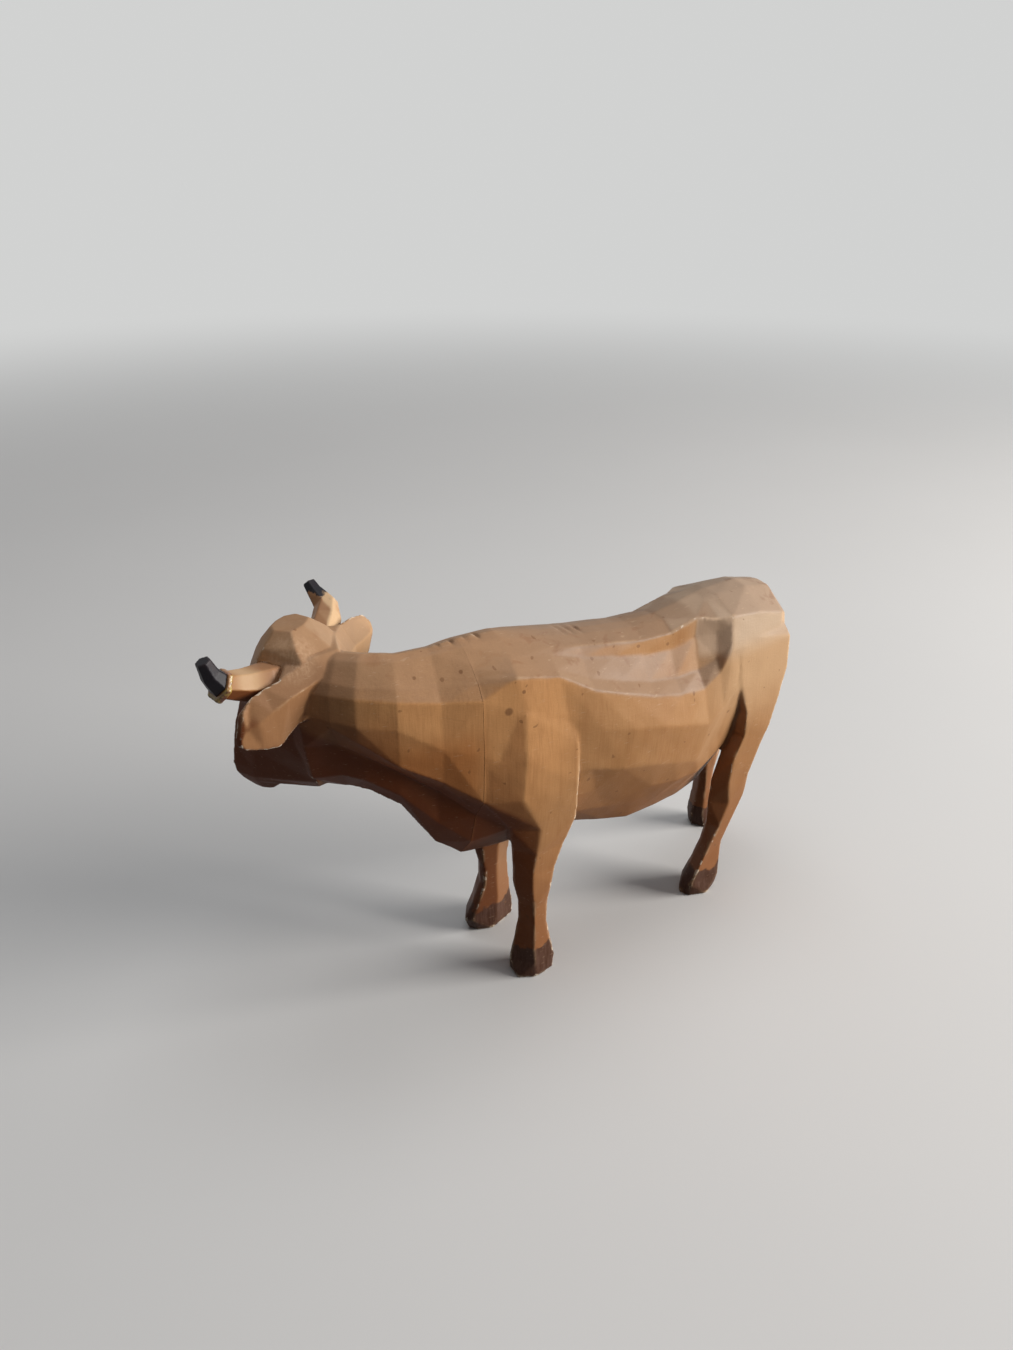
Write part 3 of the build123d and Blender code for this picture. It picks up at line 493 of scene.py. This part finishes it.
def horn_wood(name, pale, root_share, black_from):
    """Pale wood, brown at the root, browner on its front faces partly as painted shade, with painted shade on
    its underside and painted light on its top, smudged, and stained black above a height.
    """
    material, tree, shader = new_material(name)
    grain = upright_grain(tree)
    smudges = ramp(tree, noise(tree, (1, 1, 1), 0.22, detail=4), 0.5, 0.7, 0.0, 0.8)
    colour = mix(tree, smudges, pale, (0.36, 0.13, 0.04))
    colour = mix(tree, ramp(tree, grain, 0.4, 0.7, 0.0, 0.25), colour, (0.40, 0.20, 0.09))
    from_root = field(tree, "from_root")
    middle = both(tree, ramp(tree, from_root, root_share * 0.7, root_share), ramp(tree, from_root, 0.95, 0.8))
    # Painted light on the top of the horn's middle.
    top_light = both(tree, middle, ramp(tree, field(tree, "upward"), 0.2, 0.5, 0.0, 0.7))
    colour = mix(tree, top_light, colour, (0.62, 0.42, 0.24))
    # Painted shade on the underside, partly brown wood.
    underside_stain_and_shade = ramp(tree, field(tree, "downward"), -0.1, 0.4, 0.0, 0.85)
    colour = mix(tree, underside_stain_and_shade, colour, (0.22, 0.06, 0.018))
    root = ramp(tree, from_root, root_share, root_share * 0.6, 0.0, 0.9)
    colour = mix(tree, root, colour, (0.29, 0.15, 0.08))
    ragged = ramp(tree, noise(tree, (1, 1, 1), 0.5), 0.2, 0.8, -0.8, 0.8)
    edge = reckon(tree, "ADD", place_in_mm(tree)[2], ragged)
    browned = ramp(tree, edge, black_from / mm - 7, black_from / mm - 4, 0.0, 0.8)
    # Front faces browner under the black: partly brown stain, partly painted shade.
    front_brown_and_shade = ramp(tree, field(tree, "forward"), 0.5, 0.62)
    colour = mix(tree, both(tree, browned, front_brown_and_shade), colour, (0.33, 0.14, 0.055))
    black = ramp(tree, edge, black_from / mm - 0.4, black_from / mm + 0.4)
    colour = mix(tree, black, colour, mix(tree, smudges, (0.013, 0.011, 0.015), (0.034, 0.022, 0.026)))
    # Edges greyer: partly wear, partly painted highlight on the black tip.
    edge_patches = ramp(tree, noise(tree, (1, 1, 1), 0.6, detail=2), 0.45, 0.6)
    worn_and_highlight = both(tree, ramp(tree, field(tree, "ridge"), 0.3, 0.95, 0.0, 0.3), edge_patches)
    colour = mix(tree, worn_and_highlight, colour, (0.20, 0.16, 0.15))
    tree.links.new(colour, shader.inputs["Base Color"])
    shader.inputs["Roughness"].default_value = 0.42
    varnish(shader, 0.12)
    relief(tree, shader, grain, 0.25, 0.12 * mm)
    return material


def dried_glue():
    """Hard yellowed glue with dark dirt in it, stained over on top."""
    material, tree, shader = new_material("dried_glue")
    clouds = noise(tree, (1, 1, 1), 0.4, detail=3)
    colour = mix(tree, ramp(tree, clouds, 0.35, 0.5), (0.52, 0.40, 0.10), (0.34, 0.20, 0.04))
    colour = mix(tree, ramp(tree, clouds, 0.5, 0.6), colour, (0.12, 0.035, 0.012))
    colour = mix(tree, ramp(tree, field(tree, "upward"), 0.1, 0.6, 0.0, 0.85), colour, (0.26, 0.105, 0.04))
    tree.links.new(colour, shader.inputs["Base Color"])
    shader.inputs["Roughness"].default_value = 0.35
    shader.inputs["Coat Weight"].default_value = 0.15
    relief(tree, shader, clouds, 0.5, 0.4 * mm)
    return material


def dowel_wood():
    """Bare turned wood with grain along its length."""
    material, tree, shader = new_material("dowel_wood")
    streaks = noise(tree, (0.06, 1, 1), 1.1, detail=5)
    colour = mix(tree, ramp(tree, streaks, 0.35, 0.65), (0.66, 0.46, 0.27), (0.48, 0.30, 0.16))
    tree.links.new(colour, shader.inputs["Base Color"])
    shader.inputs["Roughness"].default_value = 0.6
    relief(tree, shader, streaks, 0.3, 0.1 * mm)
    return material


def dress(piece, material):
    """Gives a piece its material, and its slot in the record."""
    piece.data.materials.clear()
    piece.data.materials.append(material)


# The cow

wood = stained_wood()
body = knife_cut("body_block", "carved_body", body_cell, softening_passes, waver_depth, 11, seam_way=-1)
head = knife_cut("neck_and_head_block", "carved_neck_and_head", head_cell, softening_passes, waver_depth,
                 11, seam_way=1)
tail = knife_cut("tail", "carved_tail", tail_cell, softening_passes, waver_depth / 3, 13)

left_low, left_high = (Vector(corner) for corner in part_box("left_horn"))
right_low, right_high = (Vector(corner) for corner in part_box("right_horn"))
left_root = (left_high.x, left_high.y, left_low.z)
right_root = (right_low.x, right_low.y, right_low.z)
left_horn = knife_cut("left_horn", "carved_left_horn", horn_cell, horn_passes, waver_depth, 14,
                      root=left_root, flare=horn_flare)
left_tip = knife_cut("left_horn_tip", "carved_left_horn_tip", horn_cell, horn_passes, waver_depth, 15)
glue = knife_cut("horn_glue", "glue_bead", horn_cell, horn_passes, 4 * waver_depth, 16, bulge=glue_bulge)
right_horn = knife_cut("right_horn", "carved_right_horn", horn_cell, horn_passes, waver_depth, 17,
                       root=right_root, flare=horn_flare)
for piece in (body, head, tail):
    dress(piece, wood)
never_black = cad_high.z + 20 * mm
dress(left_horn, horn_wood("left_horn_wood", (0.40, 0.20, 0.08), 0.7, never_black))
dress(left_tip, horn_wood("left_tip_wood", (0.40, 0.20, 0.08), 0.0, 0))
dress(glue, dried_glue())
dress(right_horn, horn_wood("right_horn_wood", (0.70, 0.48, 0.28), 0.3, right_horn_black_from))
dowel = dowel_wood()
for name in ("upper_neck_dowel", "lower_neck_dowel"):
    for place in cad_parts[name].material_slots:
        place.material = dowel


# Stage

def round_floor(radius, rings, spokes):
    """A flat disc: radius times the ring's share squared, turned through the spoke's angle."""
    share = np.linspace(0, 1, rings + 1)[1:, None] ** 2
    turn = np.linspace(0, 2 * math.pi, spokes, endpoint=False)[None, :]
    rim = np.stack([radius * share * np.cos(turn), radius * share * np.sin(turn),
                    np.zeros((rings, spokes))], axis=2).reshape(-1, 3)
    points = np.vstack([[0, 0, 0], rim])
    ring, spoke = np.meshgrid(np.arange(rings - 1), np.arange(spokes), indexing="ij")
    here = 1 + ring * spokes + spoke
    after = 1 + ring * spokes + (spoke + 1) % spokes
    quads = np.stack([here, here + spokes, after + spokes, after], axis=2).reshape(-1, 4)
    first = np.arange(spokes)
    middle = np.stack([np.zeros(spokes, dtype=int), 1 + first, 1 + (first + 1) % spokes], axis=1)
    mesh = bpy.data.meshes.new("floor")
    mesh.from_pydata(points.tolist(), [], middle.tolist() + quads.tolist())
    mesh.update()
    return mesh


def seen_ray(tree):
    """1 for a ray from the camera, in a reflection or through glass, and 0 for the light's own rays."""
    path = add_node(tree, "ShaderNodeLightPath").outputs
    shown = reckon(tree, "MAXIMUM", path["Is Camera Ray"], path["Is Glossy Ray"])
    return reckon(tree, "MAXIMUM", shown, path["Is Transmission Ray"])


floor = bpy.data.objects.new("floor", round_floor(4.0, 12, 96))
bpy.context.scene.collection.objects.link(floor)
floor_material, floor_tree, floor_shader = new_material("pale_floor")
seen = seen_ray(floor_tree)
floor_colour = mix(floor_tree, noise(floor_tree, (1, 1, 1), 0.004), (0.68, 0.67, 0.66), (0.72, 0.71, 0.70))
floor_colour = mix(floor_tree, seen, floor_bounce_colour, floor_colour)
floor_tree.links.new(floor_colour, floor_shader.inputs["Base Color"])
floor_shader.inputs["Roughness"].default_value = 0.9
floor_shader.inputs["Specular IOR Level"].default_value = 0.1
away = add_node(floor_tree, "ShaderNodeVectorMath", {"operation": "LENGTH"},
                {0: scaled_place(floor_tree, (1, 1, 1))}).outputs["Value"]
far = ramp(floor_tree, away, floor_fades_from / mm, floor_fades_to / mm)
glow = add_node(floor_tree, "ShaderNodeEmission", {}, {"Color": (*backdrop_colour, 1.0)})
parts = {0: both(floor_tree, far, seen), 1: floor_shader.outputs["BSDF"], 2: glow.outputs["Emission"]}
fading = add_node(floor_tree, "ShaderNodeMixShader", {}, parts)
floor_tree.links.new(fading.outputs["Shader"], floor_tree.nodes["Material Output"].inputs["Surface"])
dress(floor, floor_material)

world = bpy.data.worlds.new("studio")
bpy.context.scene.world = world
world.use_nodes = True
sky = world.node_tree.nodes["Background"]
sky_colour = mix(world.node_tree, seen_ray(world.node_tree), fill_colour, backdrop_colour)
world.node_tree.links.new(sky_colour, sky.inputs["Color"])
sky.inputs["Strength"].default_value = 1.0


def soft_lamp(name, place, target, size, power, colour):
    """A square soft lamp that faces the target."""
    data = bpy.data.lights.new(name, "AREA")
    data.size = size
    data.energy = power
    data.color = colour
    lamp = bpy.data.objects.new(name, data)
    lamp.location = place
    lamp.rotation_euler = (Vector(target) - Vector(place)).to_track_quat("-Z", "Y").to_euler()
    bpy.context.scene.collection.objects.link(lamp)


middle_of_cow = (cad_low + cad_high) / 2
soft_lamp("window_side", (1.08, -0.81, 0.44), middle_of_cow, 0.7, 29.0, (1.0, 0.97, 0.93))
soft_lamp("top", (0.1, 0.15, 1.3), middle_of_cow, 0.9, 6.0, (0.95, 0.98, 1.0))

camera_data = bpy.data.cameras.new("camera")
camera_data.lens = camera_lens
camera_data.sensor_width = sensor_long_side
camera_data.clip_start = 0.01
camera = bpy.data.objects.new("camera", camera_data)
camera.location = camera_place
camera.rotation_euler = Vector(camera_way).to_track_quat("-Z", "Y").to_euler()
bpy.context.scene.collection.objects.link(camera)
bpy.context.scene.camera = camera
bpy.context.scene.view_settings.view_transform = "Standard"
